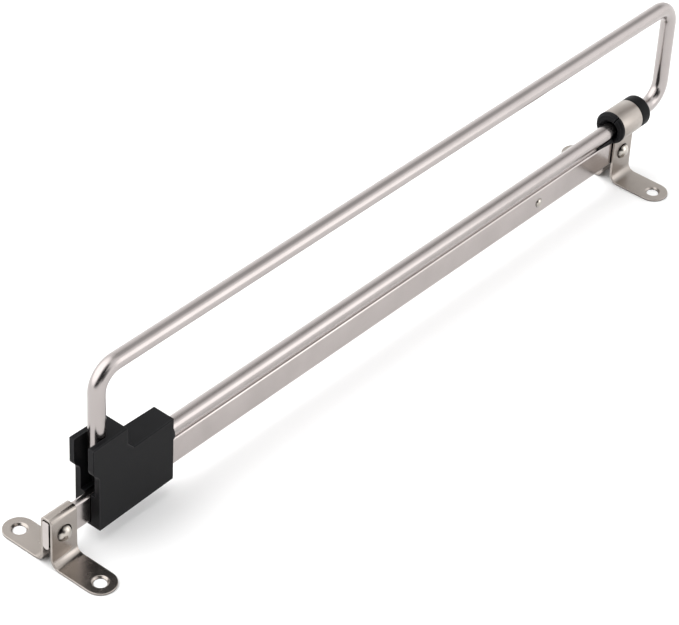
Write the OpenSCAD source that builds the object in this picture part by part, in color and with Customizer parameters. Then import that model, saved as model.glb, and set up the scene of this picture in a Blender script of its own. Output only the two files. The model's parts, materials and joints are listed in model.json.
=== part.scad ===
// Pull-out wardrobe rail, lying on its four screw feet as it is stored.
// In use it hangs the other way up, screwed under a shelf by the same feet.
// X runs along the rail, toward the end where the bar pulls out.
// Y runs across it and Z up, with the undersides of the feet at zero.
// The origin lies at the centre of the four screw holes.

/* [Guide rail] */
// Distance between the rear and the front pair of screw holes
hole_pitch_x = 402; // [396:1:410]
// Thickness of the flat rail
rail_w = 3.6; // [3.2:0.1:4]
// Height of the rail
rail_h = 15.2; // [13:0.1:16]
// Height of the rail's underside above the floor
rail_z = 9.8; // [9:0.1:10.5]
// Rounding of the rail's upper edges
rail_edge_r = 1; // [0.4:0.1:1.4]

/* [Bar] */
// Diameter of the bar
bar_d = 8; // [7:0.1:8.6]
// Gap between the rail's top and the bar's lower run
bar_gap = 2.6; // [2.2:0.1:3.4]
// Distance between the centre lines of the lower and the upper run
loop_h = 56.6; // [50:0.2:90]
// Distance from the rear screw holes to the rear upright's centre line
rear_setback = 23.1; // [22.4:0.1:26]
// Distance from the front screw holes to the front upright's centre line
front_reach = 32.9; // [32:0.1:40]
// Bend radius of the bar's centre line
bar_bend_r = 11; // [9:0.2:12]

/* [Brackets] */
// Thickness of the bracket strip
strip_t = 1.2; // [1:0.05:1.3]
// Width of the bracket strip
strip_w = 15.2; // [13:0.2:17]
// Distance between the two screw holes of a bracket
hole_pitch_y = 49; // [44:0.5:60]
// Diameter of the screw holes
hole_d = 6; // [4:0.1:7.2]
// Diameter of the countersink at the top of the screw holes
sink_d = 7.9; // [7.4:0.1:8.4]
// Inner radius of the bend between leg and foot
foot_bend_r = 4; // [2.5:0.1:4.6]
// Inner radius of the rear bracket's top bends
bridge_bend_r = 1.2; // [0.5:0.05:1.5]
// Radius of the bend between the front strap's ring and its legs
neck_bend_r = 1.5; // [1:0.1:2]

/* [Rivets] */
// Diameter of the bracket rivets' shanks
rivet_d = 4; // [3:0.1:5]
// Height of the bracket rivets above the floor
rivet_z = 16.1; // [14.6:0.1:18]
// Diameter of the bracket rivets' domed heads
rivet_head_d = 8.4; // [6.4:0.1:9]
// Height of the bracket rivets' domed heads
rivet_head_h = 2.6; // [1.4:0.1:3]
// Diameter of the stop rivet's shank
stop_d = 2.8; // [2:0.1:3.2]
// Diameter of the stop rivet's domed head
stop_head_d = 5; // [4.2:0.1:6]
// Height of the stop rivet's domed head
stop_head_h = 1.2; // [0.9:0.1:1.6]
// Distance from the stop rivet to the front screw holes
stop_setback = 68.3; // [60:0.1:100]

/* [Slider] */
// Length of the slider's lower part
slider_l = 47.4; // [45:0.2:60]
// Height of the slider's front part over the bar's lower run
slider_roof = 6.4; // [4:0.1:8]
// Height of the slider's rear part over its front part
slider_rise = 13; // [9:0.2:16]
// Floor of the slider under the rail
slider_floor = 1.4; // [1.1:0.1:2]
// Cheeks beside the bar's upright, at the slider's rear end
cheek_t = 3.1; // [2.6:0.1:4]
// Wall beside the bar's lower run, at the slider's front end
front_wall = 2.2; // [1.8:0.05:3]
// Distance from the slider's lower rear face to the bar's upright
seat_depth = 1.7; // [1.4:0.1:2.4]
// Overhang of the cheeks past the slider's lower rear face
cheek_overhang = 3.8; // [2.6:0.1:4.4]
// Length of the slider's rear part along its top
slider_top_l = 21.4; // [19.6:0.2:26]
// Length of the collar round the bar at the slider's front end
collar_l = 1.2; // [0.6:0.1:2]
// Wall between the seats of the two ends of the bar
web_t = 2; // [1.4:0.1:3]
// Bevel along the slider's edges
slider_bevel = 0.5; // [0.3:0.1:1.1]

/* [Front bushing] */
// Mean wall of the bushing inside the strap
bush_wall = 3.1; // [2.8:0.05:3.4]
// Height of the bushing's centre over the bar's, which makes its lower wall thinner
bush_lift = 1.1; // [0:0.1:1.4]
// Step from the bushing's body to the rim of its slotted rear flange
flange_step = 1.4; // [1.3:0.05:2]
// Thickness of the slotted rear flange
flange_t = 2.2; // [0.9:0.1:3]
// Step from the bushing's body to the rim of its front head
head_step = 1.1; // [1:0.05:1.5]
// Length of the front head
head_l = 8.3; // [5:0.1:8.8]
// Rounding of the front head's rim
head_round = 2.4; // [1.4:0.1:3]
// Number of slits in the rear flange
slit_count = 3; // [2:1:4]
// Width of the slits
slit_w = 0.7; // [0.4:0.05:1]
// Length of the tongue that lies on the rail
tongue_l = 9.2; // [6:0.1:12]

/* [Fits] */
// Clearance round the bar where it slides in the bushing
bar_fit = 0.08; // [0.04:0.01:0.1]
// Clearance round the bar where it sits in the slider
seat_fit = 0.05; // [0.02:0.01:0.1]
// Clearance between the bar's upright and the slider's cheeks
cheek_fit = 0.3; // [0.1:0.05:1]
// Clearance between the slider and the rail
rail_fit = 0.3; // [0.2:0.05:0.4]
// Clearance between the brackets' legs and the rail
leg_fit = 0.4; // [0.05:0.05:0.6]
// Clearance between the rear bracket's bridge and the rail's top
bridge_fit = 0.35; // [0:0.05:0.6]
// Clearance between pieces that are fastened together
snug_fit = 0.05; // [0.02:0.01:0.1]

/* [Hidden] */
$fn = 64;

STEEL = [0.76, 0.73, 0.71];
PLASTIC = [0.16, 0.16, 0.17];

// places along the rail
rear_x = -hole_pitch_x / 2;
front_x = hole_pitch_x / 2;
rear_upright_x = rear_x + rear_setback;
front_upright_x = front_x + front_reach;

// heights
bar_r = bar_d / 2;
rail_top = rail_z + rail_h;
rail_mid = rail_z + rail_h / 2;
bar_low_z = rail_top + bar_gap + bar_r;
bar_top_z = bar_low_z + loop_h;
bush_z = bar_low_z + bush_lift;

// faces of the bracket legs beside the rail
leg_in = rail_w / 2 + leg_fit;
leg_out = leg_in + strip_t;

// radii of the bushing and of the strap round it
bore_r = bar_r + bar_fit;
bush_r = bore_r + bush_wall;
ring_in = bush_r + snug_fit;
ring_out = ring_in + strip_t;
flange_r = bush_r + flange_step;
head_r = bush_r + head_step;

// one overrun serves every cut that has to pass a face
past = strip_t;
// a length that passes the whole object on both sides
far = hole_pitch_x;

// profile drawn in (y, z), pushed along X by len from x
module along_x(x, len) {
    translate([x, 0, 0]) rotate([90, 0, 90]) linear_extrude(len) children();
}

// profile drawn in (x, z), pushed along Y by w about the middle plane
module across_y(w) {
    translate([0, w / 2, 0]) rotate([90, 0, 0]) linear_extrude(w) children();
}

// profile drawn in (x, y), pushed up by h from z
module upward(z, h) {
    translate([0, 0, z]) linear_extrude(h) children();
}

// profile drawn in (radius, x), turned about the bushing's axis
module round_bush_axis() {
    translate([0, 0, bush_z]) rotate([0, 90, 0]) rotate_extrude($fn = 96) children();
}

module both_halves() {
    children();
    mirror([1, 0]) children();
}

// round rod along X from x0 to x1 at height z
module rod_x(x0, x1, z, r) {
    translate([x0, 0, z]) rotate([0, 90, 0]) cylinder(h = x1 - x0, r = r);
}

// round pin across the rail at x and z, from y0 to y1
module pin_y(x, z, y0, y1, r) {
    translate([x, y1, z]) rotate([90, 0, 0]) cylinder(h = y1 - y0, r = r);
}

// quarter of a bent strip round the origin, in the quadrant of signs sx and sy
module strip_bend(inner, sx, sy) {
    outer = inner + strip_t;
    intersection() {
        difference() {
            circle(r = outer);
            circle(r = inner);
        }
        scale([sx, sy]) square(outer);
    }
}

// leg and foot of a bracket on the side of +y, the leg ending at height top
module leg_and_foot(top) {
    bend_y = leg_out + foot_bend_r;
    bend_z = strip_t + foot_bend_r;
    foot_end = hole_pitch_y / 2 + strip_w / 2;
    translate([leg_in, bend_z]) square([strip_t, top - bend_z]);
    translate([bend_y, bend_z]) strip_bend(foot_bend_r, -1, -1);
    translate([bend_y, 0]) square([foot_end - bend_y, strip_t]);
}

// outline of a bracket seen from above, with its rounded feet
module foot_outline() {
    square([strip_w, hole_pitch_y], center = true);
    for (side = [-1, 1]) translate([0, side * hole_pitch_y / 2]) circle(d = strip_w);
}

// countersunk screw holes of one bracket
module screw_holes() {
    sink_h = (sink_d - hole_d) / 2;
    for (side = [-1, 1]) translate([0, side * hole_pitch_y / 2, 0]) {
        translate([0, 0, -past]) cylinder(h = strip_t + 2 * past, d = hole_d);
        translate([0, 0, strip_t - sink_h])
            cylinder(h = 2 * sink_h, d1 = hole_d, d2 = hole_d + 4 * sink_h);
    }
}

// strip bent to the profile given, cut to the feet's outline and pierced
module bent_bracket() {
    difference() {
        intersection() {
            along_x(-strip_w / 2, strip_w) children();
            upward(-past, bar_top_z) foot_outline();
        }
        screw_holes();
        pin_y(0, rivet_z, -far, far, rivet_d / 2 + snug_fit);
    }
}

// strip bent over the rail's rear end, both legs riveted to it
module rear_bracket() {
    // the bridge passes over the rail's flat top and leaves it free
    corner_y = leg_in - bridge_bend_r;
    bridge_z = rail_top + bridge_fit;
    corner_z = bridge_z - bridge_bend_r;
    color(STEEL) translate([rear_x, 0, 0]) bent_bracket() both_halves() {
        leg_and_foot(corner_z);
        translate([corner_y, corner_z]) strip_bend(bridge_bend_r, 1, 1);
        translate([0, bridge_z]) square([corner_y, strip_t]);
    }
}

// strap bent round the bushing and drawn in to two legs that grip the rail
module front_bracket() {
    neck_y = leg_out + neck_bend_r;
    reach = ring_out + neck_bend_r;
    drop = sqrt(reach * reach - neck_y * neck_y);
    neck_z = bush_z - drop;
    // the ring is open below, between the lines from its centre to the neck bends
    mouth = [[0, 0], [neck_y, -drop], [0, -2 * drop], [-neck_y, -drop]];
    // the neck bends run a hair into the ring, which joins them to it
    neck_sector = [[0, 0], [-2 * neck_y, 0], [-2 * neck_y, 2 * drop + snug_fit]];
    color(STEEL) translate([front_x, 0, 0]) bent_bracket() {
        translate([0, bush_z]) difference() {
            circle(r = ring_out);
            circle(r = ring_in);
            polygon(mouth);
        }
        both_halves() {
            leg_and_foot(neck_z);
            translate([neck_y, neck_z]) intersection() {
                difference() {
                    circle(r = neck_bend_r + strip_t);
                    circle(r = neck_bend_r);
                }
                polygon(neck_sector);
            }
        }
    }
}

// section of the rail in (y, z), round below and with rounded upper edges
module rail_section() {
    round_z = rail_z + rail_w / 2;
    edge_y = rail_w / 2 - rail_edge_r;
    translate([0, round_z]) circle(d = rail_w);
    translate([-rail_w / 2, round_z]) square([rail_w, rail_top - rail_edge_r - round_z]);
    for (y = [-edge_y, edge_y]) translate([y, rail_top - rail_edge_r]) circle(r = rail_edge_r);
    translate([-edge_y, round_z]) square([2 * edge_y, rail_top - round_z]);
}

// flat rail with rounded edges and three rivet holes, its ends a little past the brackets
module guide_rail() {
    end_past = 0.4 * strip_t;
    color(STEEL) difference() {
        along_x(rear_x - strip_w / 2 - end_past, hole_pitch_x + strip_w + 2 * end_past)
            rail_section();
        for (x = [rear_x, front_x]) pin_y(x, rivet_z, -far, far, rivet_d / 2 + snug_fit);
        pin_y(front_x - stop_setback, rail_mid, -far, far, stop_d / 2 + snug_fit);
    }
}

// domed head that stands out of the face at -y
module rivet_head(x, y, z, d, h) {
    ball_r = (d * d / 4 + h * h) / (2 * h);
    translate([x, -y, z]) rotate([90, 0, 0]) intersection() {
        translate([0, 0, h - ball_r]) sphere(r = ball_r);
        cylinder(h = h + past, d = d);
    }
}

// rivet through the faces at -y and +y, its far head upset smaller and flatter
module rivet(x, y, z, d, head_d, head_h) {
    upset_d_share = 0.86;
    upset_h_share = 0.7;
    color(STEEL) union() {
        pin_y(x, z, -y, y, d / 2);
        rivet_head(x, y, z, head_d, head_h);
        mirror([0, 1, 0]) rivet_head(x, y, z, upset_d_share * head_d, upset_h_share * head_h);
    }
}

module rear_rivet() {
    rivet(rear_x, leg_out, rivet_z, rivet_d, rivet_head_d, rivet_head_h);
}

module front_rivet() {
    rivet(front_x, leg_out, rivet_z, rivet_d, rivet_head_d, rivet_head_h);
}

module stop_rivet() {
    rivet(front_x - stop_setback, rail_w / 2, rail_mid, stop_d, stop_head_d, stop_head_h);
}

// faces of the bushing's body, just clear of the strap's edges
bush_x0 = front_x - strip_w / 2 - snug_fit;
bush_x1 = front_x + strip_w / 2 + snug_fit;

// half section of the bushing, from its axis outward
module bushing_section() {
    x_rear = bush_x0 - flange_t;
    lead = flange_t / 2;
    round_x = bush_x1 + head_l - head_round;
    translate([0, bush_x0]) square([bush_r, bush_x1 - bush_x0]);
    polygon([[0, x_rear], [flange_r - lead, x_rear], [flange_r, x_rear + lead],
             [flange_r, bush_x0], [0, bush_x0]]);
    translate([0, bush_x1]) square([head_r, head_l - head_round]);
    translate([0, bush_x1]) square([head_r - head_round, head_l]);
    translate([head_r - head_round, round_x]) circle(r = head_round);
}

// wedge under the bar, from the rear flange back along the rail
module bushing_tongue() {
    x_root = bush_x0 - flange_t;
    x_tip = x_root - tongue_l;
    z0 = rail_top + snug_fit;
    tip_h = bar_gap / 4;
    tip_w = rail_w / 2;
    root_h = 1.2 * bar_gap;
    root_w = 0.7 * bore_r;
    intersection() {
        across_y(2 * bore_r) polygon([[x_tip, z0], [bush_x0, z0], [bush_x0, bar_low_z],
                                      [x_root, z0 + root_h], [x_tip, z0 + tip_h]]);
        upward(0, bar_top_z) polygon([[x_tip, -tip_w], [x_root, -root_w], [bush_x0, -root_w],
                                      [bush_x0, root_w], [x_root, root_w], [x_tip, tip_w]]);
    }
}

// plastic guide of the bar, snapped into the strap
module front_bushing() {
    slit_angle = 28;
    slit_depth = 1.5 * flange_t;
    funnel_l = 0.6 * bush_wall;
    notch_w = 2 * leg_in;
    color(PLASTIC) difference() {
        union() {
            round_bush_axis() bushing_section();
            bushing_tongue();
        }
        rod_x(-far, far, bar_low_z, bore_r);
        // funnel that leads the bar in
        translate([bush_x0 - flange_t - snug_fit, 0, bar_low_z]) rotate([0, 90, 0])
            cylinder(h = funnel_l, r1 = bore_r + funnel_l, r2 = bore_r);
        // notch that straddles the rail, as deep as the strap's mouth
        translate([bush_x0 - flange_t - past, -notch_w / 2, rail_z])
            cube([bush_x1 - bush_x0 + flange_t + past, notch_w, rail_h + snug_fit]);
        // slits that make the flange's snap fingers
        for (i = [0:slit_count - 1])
            translate([bush_x0 - flange_t - past, 0, bush_z])
                rotate([slit_angle + i * 360 / slit_count, 0, 0])
                    translate([0, -slit_w / 2, bar_r / 2])
                        cube([past + slit_depth, slit_w, flange_r]);
    }
}

// ends of the bar inside the slider
upright_end_z = bar_low_z + bar_r + slider_roof - bar_r / 2;
low_end_x = rear_upright_x + bar_r + web_t;

// quarter bend of the bar, turned by turn about its own centre
module bar_bend(x, z, turn) {
    translate([x, 0, z]) rotate([90, 0, 0]) rotate([0, 0, turn])
        rotate_extrude(angle = 90) translate([bar_bend_r, 0]) circle(r = bar_r);
}

// upright of the bar from z0 to z1
module bar_upright(x, z0, z1) {
    translate([x, 0, z0]) cylinder(h = z1 - z0, r = bar_r);
}

// one bent bar, whose two ends sit in the slider
module loop_rod() {
    x0 = rear_upright_x + bar_bend_r;
    x1 = front_upright_x - bar_bend_r;
    z0 = bar_low_z + bar_bend_r;
    z1 = bar_top_z - bar_bend_r;
    color(STEEL) union() {
        rod_x(low_end_x, x1, bar_low_z, bar_r);
        bar_bend(x1, z0, -90);
        bar_upright(front_upright_x, z0, z1);
        bar_bend(x1, z1, 0);
        rod_x(x0, x1, bar_top_z, bar_r);
        bar_bend(x0, z1, 90);
        bar_upright(rear_upright_x, upright_end_z, z1);
    }
}

// faces of the slider
slider_z = rail_z - rail_fit - slider_floor;
slider_low_z = bar_low_z + bar_r + slider_roof;
slider_top_z = slider_low_z + slider_rise;
slider_x0 = rear_upright_x - bar_r - seat_depth;
slider_x1 = slider_x0 + slider_l;
cheek_x = slider_x0 - cheek_overhang;
step_x = cheek_x + slider_top_l;
rear_half_w = bar_r + cheek_fit + cheek_t;
front_half_w = bar_r + seat_fit + front_wall;
taper = atan((rear_half_w - front_half_w) / (slider_x1 - cheek_x));

// side view of the slider in (x, z), with its curved steps at the rear and on top
module slider_side() {
    b = slider_bevel / 2;
    step_r = cheek_overhang;
    // the rear step is two equal arcs that meet halfway down
    curve_h = 1.95 * cheek_overhang;
    half_turn = atan(cheek_overhang / curve_h);
    curve_r = curve_h / 2 / sin(2 * half_turn);
    top = slider_low_z + cheek_overhang / 3;
    bottom = top - curve_h;
    middle = [cheek_x + cheek_overhang / 2, (top + bottom) / 2];
    union() {
        difference() {
            polygon([[slider_x0, slider_z], [slider_x1, slider_z], [slider_x1, slider_low_z - b],
                     [slider_x1 - b, slider_low_z], [step_x + step_r, slider_low_z],
                     [step_x, slider_low_z + step_r], [step_x, slider_top_z - b],
                     [step_x - b, slider_top_z], [cheek_x + b, slider_top_z],
                     [cheek_x, slider_top_z - b], [cheek_x, top], middle, [slider_x0, bottom]]);
            intersection() {
                translate([slider_x0 - curve_r, bottom]) circle(r = curve_r);
                polygon([[slider_x0 - curve_r, bottom], [slider_x0, bottom],
                         [slider_x0, middle[1]], middle]);
            }
        }
        intersection() {
            translate([cheek_x + curve_r, top]) circle(r = curve_r);
            polygon([[cheek_x + curve_r, top], [cheek_x, top], [cheek_x, middle[1]], middle]);
        }
        // hollow corner in front of the rear part
        difference() {
            translate([step_x, slider_low_z]) square(step_r);
            translate([step_x + step_r, slider_low_z + step_r]) circle(r = step_r);
        }
    }
}

// slider seen from above, narrower toward its front and bevelled at its corners
module slider_plan() {
    b = slider_bevel;
    both = [[cheek_x, rear_half_w - b], [cheek_x + b, rear_half_w],
            [slider_x1 - b, front_half_w], [slider_x1, front_half_w - b]];
    polygon([for (p = both) p, for (i = [3:-1:0]) [both[i][0], -both[i][1]]]);
}

// bar-shaped limit along one side face, bevelled at the height given
module side_limit(top) {
    b = slider_bevel;
    far_y = -2 * rear_half_w;
    translate([cheek_x, rear_half_w, 0]) rotate([0, 0, -taper]) along_x(-past, far)
        polygon([[far_y, slider_z], [0, slider_z], [0, top - b], [-b, top], [far_y, top]]);
}

// both side faces up to the height given, from the rear end to x
module side_limits(top, x) {
    intersection() {
        side_limit(top);
        mirror([0, 1, 0]) side_limit(top);
        along_x(cheek_x, x - cheek_x) translate([-far / 2, 0]) square([far, top]);
    }
}

// moulded slider that carries both ends of the bar and straddles the rail
module slider_block() {
    collar_r = front_half_w - slider_bevel / 3;
    tunnel_w = rail_w + 2 * rail_fit;
    color(PLASTIC) difference() {
        union() {
            intersection() {
                across_y(4 * rear_half_w) slider_side();
                upward(0, bar_top_z) slider_plan();
                union() {
                    side_limits(slider_top_z, step_x + cheek_overhang);
                    side_limits(slider_low_z, slider_x1);
                }
            }
            // collar round the mouth of the bar's lower run
            translate([slider_x1 - past, 0, bar_low_z]) rotate([0, 90, 0])
                cylinder(h = past + collar_l, r1 = collar_r, r2 = collar_r - collar_l / 3);
        }
        // tunnel round the rail
        translate([-far, -tunnel_w / 2, rail_z - rail_fit])
            cube([2 * far, tunnel_w, rail_h + 2 * rail_fit]);
        upright_seat();
        // blind hole of the lower run
        rod_x(low_end_x - seat_fit, far, bar_low_z, bar_r + seat_fit);
    }
}

// round seat of the bar's upright, with a pocket behind and below it, down to the rail
module upright_seat() {
    slot_w = 2 * (bar_r + cheek_fit);
    slot_end = rear_upright_x + bar_r / 3;
    upward(rail_top + rail_fit, bar_top_z) union() {
        translate([rear_upright_x, 0]) circle(r = bar_r + seat_fit);
        translate([cheek_x - past, -slot_w / 2]) square([slot_end - cheek_x + past, slot_w]);
    }
}

guide_rail();
rear_bracket();
rear_rivet();
front_bracket();
front_rivet();
front_bushing();
stop_rivet();
loop_rod();
slider_block();
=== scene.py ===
import json
import math

import bpy
from mathutils import Matrix, Vector

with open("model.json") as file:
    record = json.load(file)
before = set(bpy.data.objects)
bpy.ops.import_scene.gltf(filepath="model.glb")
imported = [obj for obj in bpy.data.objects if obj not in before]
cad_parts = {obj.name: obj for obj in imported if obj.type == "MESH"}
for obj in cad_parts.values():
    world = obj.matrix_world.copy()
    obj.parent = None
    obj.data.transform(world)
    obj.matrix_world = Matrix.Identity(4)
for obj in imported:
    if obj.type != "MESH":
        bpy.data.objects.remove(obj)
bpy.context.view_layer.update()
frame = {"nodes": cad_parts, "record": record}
MM = 0.001
COLLECTION = bpy.context.scene.collection

# Camera, from the photograph's own perspective
IMAGE_W = 679
FOCAL_PX = 2926.1
SENSOR_MM = 36.0
CAMERA_PLACE = Vector((-0.85563, -0.66917, 0.85614))
CAMERA_FORWARD = Vector((0.61914, 0.49477, -0.60981))
CAMERA_RIGHT = Vector((0.65102, -0.75765, 0.04626))
CAMERA_NEAR = 0.05
CAMERA_FAR = 50.0

# How far each node's sharp edges are rounded, in mm, and how
EDGE_ROUND = {
    "rear_bracket": 0.2,
    "front_bracket": 0.2,
    "guide_rail": 0.25,
    "front_bushing": 0.3,
    "slider_block": 0.35,
}
EDGE_SEGMENTS = 3
EDGE_ANGLE = math.radians(35.0)
WELD_REACH = 0.001 * MM

# Noise frequencies along X, Y and Z, per metre
LONG_GRAIN = (6.0, 1500.0, 1500.0)
FINE_GRAIN = (260.0, 260.0, 260.0)
PLATING_CLOUD = (60.0, 60.0, 60.0)
PLASTIC_CLOUD = (90.0, 90.0, 90.0)
PLASTIC_GRAIN = (2200.0, 2200.0, 2200.0)
FLOOR_CLOUD = (3.0, 3.0, 3.0)
# Where most of a noise's values lie
NOISE_RANGE = (0.3, 0.7)

# Worn edges, painted paler, which also stands in for the line of light an edge catches
# (painted highlight): the product of the rounded and the true normal at a rubbed edge
# and on a plain face, and the share of the paler edge that shows at a cloud's lowest
# and highest values
WEAR_GLINT_SAMPLES = 6
WEAR_GLINT_TURN = (0.86, 0.995)
WEAR_GLINT_CLOUDS = (0.35, 1.0)

# Painted shade in crevices and round the rivet heads, where shade falls: its colour,
# and for each kind of crevice how far it looks for other surfaces, and how open a place
# is where the painted shade is full and where it ends
PAINTED_SHADE = (0.020, 0.016, 0.014)
PAINTED_SHADE_SAMPLES = 16
CREVICE = (1.2 * MM, 0.40, 0.85)
RIVET_CREVICE = (6.0 * MM, 0.84, 0.92)

# Plated finishes: the plating's two colours, its least and most roughness, its grain,
# the rubbed edges' paler colour (partly a painted highlight), the crevices' painted
# shade, and the roughness added at the front end
METAL_WEAR_GLINT_REACH = 0.5 * MM
METAL_GRAIN_STRENGTH = 0.15
METAL_GRAIN_DEPTH = 0.0005 * MM
NICKEL = {
    "nickel_bar": dict(
        dark=(0.372, 0.341, 0.331),
        light=(0.399, 0.366, 0.356),
        rough=(0.19, 0.24),
        grain=LONG_GRAIN,
    ),
    "nickel_rail": dict(
        dark=(0.470, 0.430, 0.416),
        light=(0.518, 0.475, 0.460),
        rough=(0.17, 0.23),
        grain=LONG_GRAIN,
        worn_glint=(0.62, 0.58, 0.56),
    ),
    "nickel_bracket": dict(
        dark=(0.325, 0.293, 0.267),
        light=(0.380, 0.345, 0.316),
        rough=(0.22, 0.28),
        grain=FINE_GRAIN,
        worn_glint=(0.50, 0.46, 0.43),
        duller_front=0.11,
    ),
    "nickel_rivet": dict(
        dark=(0.448, 0.414, 0.373),
        light=(0.494, 0.460, 0.418),
        rough=(0.16, 0.22),
        grain=FINE_GRAIN,
        # painted shade: a dark rim round each rivet head, where shade falls
        crevice=RIVET_CREVICE,
    ),
}
# The X where the front end's extra roughness starts and where it is full
DULL_FROM_TO = (-0.1, 0.1)

# Black plastic
PLASTIC_SPECULAR = 0.065
PLASTIC_DARK = (0.0072, 0.0072, 0.0079)
PLASTIC_LIGHT = (0.0094, 0.0094, 0.0102)
PLASTIC_ROUGH = (0.35, 0.45)
# paler rubbed edges, partly a painted highlight along the edges
PLASTIC_WORN_GLINT = (0.042, 0.042, 0.044)
PLASTIC_WEAR_GLINT_REACH = 0.7 * MM
PLASTIC_GRAIN_STRENGTH = 0.25
PLASTIC_GRAIN_DEPTH = 0.02 * MM

# Floor
FLOOR_HALF = 6.0
FLOOR_DARK = (0.93, 0.93, 0.93)
FLOOR_LIGHT = (0.95, 0.95, 0.95)
FLOOR_ROUGH = 0.9

# The studio's brightness, by direction: an even base, to which each lobe adds its
# weight. Centre, angle within which it is full, angle where it ends, weight
STUDIO_BASE = 1.2
STUDIO_LEAST = 0.03
STUDIO_LOBES = [
    # key light, above on the camera's left
    ((-0.50, 0.52, 0.69), 26.0, 60.0, 1.60),
    # soft box, low on the camera's right
    ((0.62, -0.78, 0.05), 15.0, 65.0, 0.46),
    # pale wall behind the object
    ((0.58, 0.81, -0.05), 12.0, 40.0, 0.36),
    # dark part of the ceiling, toward the front end
    ((0.62, 0.03, 0.785), 6.0, 32.0, -0.52),
    # dark parts on the camera's side
    ((-0.95, -0.30, 0.08), 10.0, 24.0, -1.15),
    ((-0.70, -0.52, 0.46), 15.0, 30.0, -1.15),
    ((-0.24, -0.90, 0.32), 10.0, 24.0, -1.10),
    ((-0.36, -0.42, 0.82), 11.0, 26.0, -1.15),
]

# Low strip lamp that brightens the near half of the bars
STRIP_PLACE = Vector((0.74, -1.15, 0.46))
STRIP_AIM = Vector((-0.08, 0.0, 0.05))
STRIP_SIZE = (0.6, 0.95)
STRIP_POWER = 1.95


def add_camera():
    forward = CAMERA_FORWARD.normalized()
    right = (CAMERA_RIGHT - CAMERA_RIGHT.dot(forward) * forward).normalized()
    up = right.cross(forward)
    data = bpy.data.cameras.new("camera")
    data.sensor_width = SENSOR_MM
    data.lens = FOCAL_PX * SENSOR_MM / IMAGE_W
    data.clip_start = CAMERA_NEAR
    data.clip_end = CAMERA_FAR
    camera = bpy.data.objects.new("camera", data)
    COLLECTION.objects.link(camera)
    axes = Matrix((right, up, -forward)).transposed()
    camera.matrix_world = Matrix.Translation(CAMERA_PLACE) @ axes.to_4x4()
    bpy.context.scene.camera = camera


class Nodes:
    """Shorthand for building one material's node tree."""

    def __init__(self, name):
        self.material = bpy.data.materials.new(name)
        self.material.use_nodes = True
        self.tree = self.material.node_tree
        self.shader = self.tree.nodes["Principled BSDF"]
        texture = self.tree.nodes.new("ShaderNodeTexCoord")
        self.coords = texture.outputs["Object"]

    def link(self, a, b):
        self.tree.links.new(a, b)

    def combine(self, operation, a, b):
        node = self.tree.nodes.new("ShaderNodeMath")
        node.operation = operation
        self.link(a, node.inputs[0])
        self.link(b, node.inputs[1])
        return node.outputs["Value"]

    def noise(self, frequency, detail=3.0):
        """Noise in object coordinates, with its own frequency along each axis."""
        mapping = self.tree.nodes.new("ShaderNodeMapping")
        mapping.inputs["Scale"].default_value = frequency
        self.link(self.coords, mapping.inputs["Vector"])
        node = self.tree.nodes.new("ShaderNodeTexNoise")
        node.inputs["Scale"].default_value = 1.0
        node.inputs["Detail"].default_value = detail
        self.link(mapping.outputs["Vector"], node.inputs["Vector"])
        return node.outputs["Fac"]

    def remap(self, value, to, span=NOISE_RANGE):
        """The value, taken from the span to the two ends of to, and held there."""
        node = self.tree.nodes.new("ShaderNodeMapRange")
        node.inputs["From Min"].default_value = span[0]
        node.inputs["From Max"].default_value = span[1]
        node.inputs["To Min"].default_value = to[0]
        node.inputs["To Max"].default_value = to[1]
        self.link(value, node.inputs["Value"])
        return node.outputs["Result"]

    def tint(self, value, dark, light):
        """From dark, a colour or another node's output, to the colour light."""
        node = self.tree.nodes.new("ShaderNodeMix")
        node.data_type = "RGBA"
        node.inputs["B"].default_value = (*light, 1.0)
        if isinstance(dark, tuple):
            node.inputs["A"].default_value = (*dark, 1.0)
        else:
            self.link(dark, node.inputs["A"])
        self.link(value, node.inputs["Factor"])
        return node.outputs["Result"]

    def near_edge(self, radius, cloud):
        """0 on the faces, rising to 1 at the sharp edges, broken up by the cloud."""
        bevel = self.tree.nodes.new("ShaderNodeBevel")
        bevel.samples = WEAR_GLINT_SAMPLES
        bevel.inputs["Radius"].default_value = radius
        geometry = self.tree.nodes.new("ShaderNodeNewGeometry")
        dot = self.tree.nodes.new("ShaderNodeVectorMath")
        dot.operation = "DOT_PRODUCT"
        self.link(bevel.outputs["Normal"], dot.inputs[0])
        self.link(geometry.outputs["Normal"], dot.inputs[1])
        edge = self.remap(dot.outputs["Value"], (1.0, 0.0), WEAR_GLINT_TURN)
        return self.combine("MULTIPLY", edge, self.remap(cloud, WEAR_GLINT_CLOUDS))

    def painted_shade_mask(self, reach, full, end):
        """Painted shade: 1 where other surfaces crowd within reach, falling to 0 in the
        open.
        """
        node = self.tree.nodes.new("ShaderNodeAmbientOcclusion")
        node.samples = PAINTED_SHADE_SAMPLES
        node.inputs["Distance"].default_value = reach
        return self.remap(node.outputs["AO"], (1.0, 0.0), (full, end))

    def duller_ahead(self, roughness, extra):
        """The roughness, raised by extra toward the front end of the rail."""
        axes = self.tree.nodes.new("ShaderNodeSeparateXYZ")
        self.link(self.coords, axes.inputs["Vector"])
        added = self.remap(axes.outputs["X"], (0.0, extra), DULL_FROM_TO)
        return self.combine("ADD", roughness, added)

    def bump(self, height, strength, distance):
        node = self.tree.nodes.new("ShaderNodeBump")
        node.inputs["Strength"].default_value = strength
        node.inputs["Distance"].default_value = distance
        self.link(height, node.inputs["Height"])
        self.link(node.outputs["Normal"], self.shader.inputs["Normal"])


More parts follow.
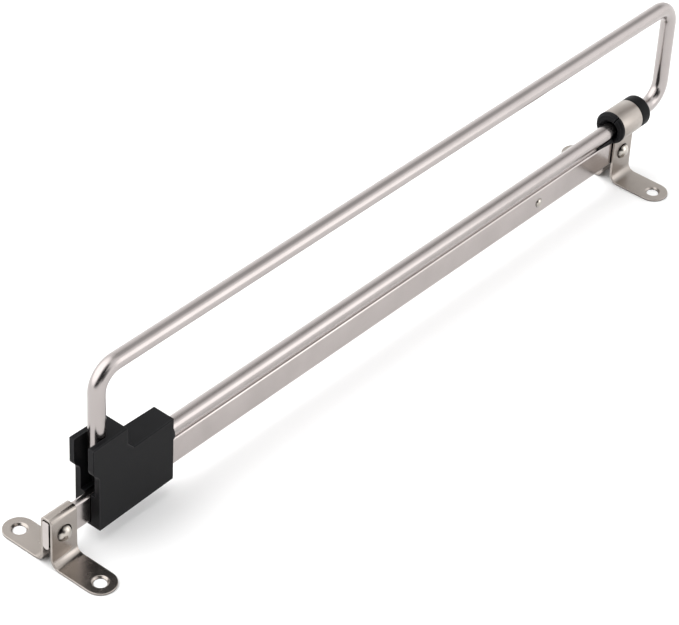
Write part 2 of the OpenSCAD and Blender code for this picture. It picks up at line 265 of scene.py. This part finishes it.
def nickel(name, dark, light, rough, grain, worn_glint=None, crevice=CREVICE,
           duller_front=0.0):
    """Plated steel: grain, cloudy plating, paler rubbed edges that are partly a painted
    highlight, and painted shade in crevices.
    """
    n = Nodes(name)
    n.shader.inputs["Metallic"].default_value = 1.0
    cloud = n.noise(PLATING_CLOUD, detail=2.0)
    plating = n.tint(n.remap(cloud, (0.0, 1.0)), dark, light)
    if worn_glint:
        # paler rubbed edges, partly a painted highlight: the line of light an edge
        # catches
        plating = n.tint(n.near_edge(METAL_WEAR_GLINT_REACH, cloud), plating, worn_glint)
    # painted shade: the colour darkens in crevices and round the rivet heads
    colour = n.tint(n.painted_shade_mask(*crevice), plating, PAINTED_SHADE)
    n.link(colour, n.shader.inputs["Base Color"])
    lines = n.noise(grain)
    roughness = n.remap(lines, rough)
    if duller_front:
        roughness = n.duller_ahead(roughness, duller_front)
    n.link(roughness, n.shader.inputs["Roughness"])
    n.bump(lines, METAL_GRAIN_STRENGTH, METAL_GRAIN_DEPTH)
    return n.material


def black_plastic(name):
    """Moulded plastic: near black, with a fine grain and paler rubbed edges, partly a
    painted highlight.
    """
    n = Nodes(name)
    n.shader.inputs["Specular IOR Level"].default_value = PLASTIC_SPECULAR
    cloud = n.noise(PLASTIC_CLOUD)
    grain = n.noise(PLASTIC_GRAIN)
    face = n.tint(n.remap(cloud, (0.0, 1.0)), PLASTIC_DARK, PLASTIC_LIGHT)
    # paler rubbed edges, partly a painted highlight: the line of light an edge catches
    worn_glint = n.near_edge(PLASTIC_WEAR_GLINT_REACH, cloud)
    n.link(n.tint(worn_glint, face, PLASTIC_WORN_GLINT), n.shader.inputs["Base Color"])
    n.link(n.remap(cloud, PLASTIC_ROUGH), n.shader.inputs["Roughness"])
    n.bump(grain, PLASTIC_GRAIN_STRENGTH, PLASTIC_GRAIN_DEPTH)
    return n.material


def floor_paint(name):
    n = Nodes(name)
    paint = n.tint(n.noise(FLOOR_CLOUD), FLOOR_DARK, FLOOR_LIGHT)
    n.link(paint, n.shader.inputs["Base Color"])
    n.shader.inputs["Roughness"].default_value = FLOOR_ROUGH
    return n.material


def finish_nodes():
    """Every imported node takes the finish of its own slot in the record."""
    finish = {name: nickel(name, **look) for name, look in NICKEL.items()}
    finish["black_plastic"] = black_plastic("black_plastic")
    for part in frame["record"]["subparts"]:
        node = frame["nodes"][part["node"]]
        node.data.materials.clear()
        node.data.materials.append(finish[part["material_slot"]])


def round_edges():
    """Sheared and moulded edges get a small radius, which catches a line of light."""
    for name, radius in EDGE_ROUND.items():
        node = frame["nodes"][name]
        weld = node.modifiers.new("weld", "WELD")
        weld.merge_threshold = WELD_REACH
        bevel = node.modifiers.new("edges", "BEVEL")
        bevel.width = radius * MM
        bevel.segments = EDGE_SEGMENTS
        bevel.limit_method = "ANGLE"
        bevel.angle_limit = EDGE_ANGLE
        bevel.harden_normals = True


def add_floor():
    half = FLOOR_HALF
    corners = [(-half, -half, 0.0), (half, -half, 0.0), (half, half, 0.0),
               (-half, half, 0.0)]
    mesh = bpy.data.meshes.new("floor")
    mesh.from_pydata(corners, [], [(0, 1, 2, 3)])
    mesh.materials.append(floor_paint("floor_paint"))
    floor = bpy.data.objects.new("floor", mesh)
    COLLECTION.objects.link(floor)


def lobe(tree, direction, centre, inner, outer):
    """1 within the inner angle round the centre, falling to 0 at the outer one."""
    dot = tree.nodes.new("ShaderNodeVectorMath")
    dot.operation = "DOT_PRODUCT"
    dot.inputs[1].default_value = Vector(centre).normalized()
    tree.links.new(direction, dot.inputs[0])
    step = tree.nodes.new("ShaderNodeMapRange")
    step.interpolation_type = "SMOOTHSTEP"
    step.inputs["From Min"].default_value = math.cos(math.radians(outer))
    step.inputs["From Max"].default_value = math.cos(math.radians(inner))
    tree.links.new(dot.outputs["Value"], step.inputs["Value"])
    return step.outputs["Result"]


def weighted_sum(tree, base, terms):
    """base plus every term's value times its weight."""
    total = None
    for value, weight in terms:
        node = tree.nodes.new("ShaderNodeMath")
        node.operation = "MULTIPLY_ADD"
        node.inputs[1].default_value = weight
        tree.links.new(value, node.inputs[0])
        if total is None:
            node.inputs[2].default_value = base
        else:
            tree.links.new(total, node.inputs[2])
        total = node.outputs["Value"]
    return total


def at_least(tree, value, low):
    node = tree.nodes.new("ShaderNodeMath")
    node.operation = "MAXIMUM"
    node.inputs[1].default_value = low
    tree.links.new(value, node.inputs[0])
    return node.outputs["Value"]


def add_world():
    """The studio as one soft pattern of brightness, the same from every camera."""
    world = bpy.data.worlds.new("studio")
    bpy.context.scene.world = world
    world.use_nodes = True
    tree = world.node_tree
    direction = tree.nodes.new("ShaderNodeTexCoord").outputs["Generated"]
    terms = [(lobe(tree, direction, *shape), weight) for *shape, weight in STUDIO_LOBES]
    strength = at_least(tree, weighted_sum(tree, STUDIO_BASE, terms), STUDIO_LEAST)
    background = tree.nodes["Background"]
    background.inputs["Color"].default_value = (1.0, 1.0, 1.0, 1.0)
    tree.links.new(strength, background.inputs["Strength"])


def add_strip():
    data = bpy.data.lights.new("strip", "AREA")
    data.shape = "RECTANGLE"
    data.size, data.size_y = STRIP_SIZE
    data.energy = STRIP_POWER
    light = bpy.data.objects.new("strip", data)
    COLLECTION.objects.link(light)
    light.location = STRIP_PLACE
    light.rotation_euler = (STRIP_AIM - STRIP_PLACE).to_track_quat("-Z", "Y").to_euler()


bpy.context.scene.view_settings.view_transform = "Standard"
add_camera()
finish_nodes()
round_edges()
add_floor()
add_world()
add_strip()
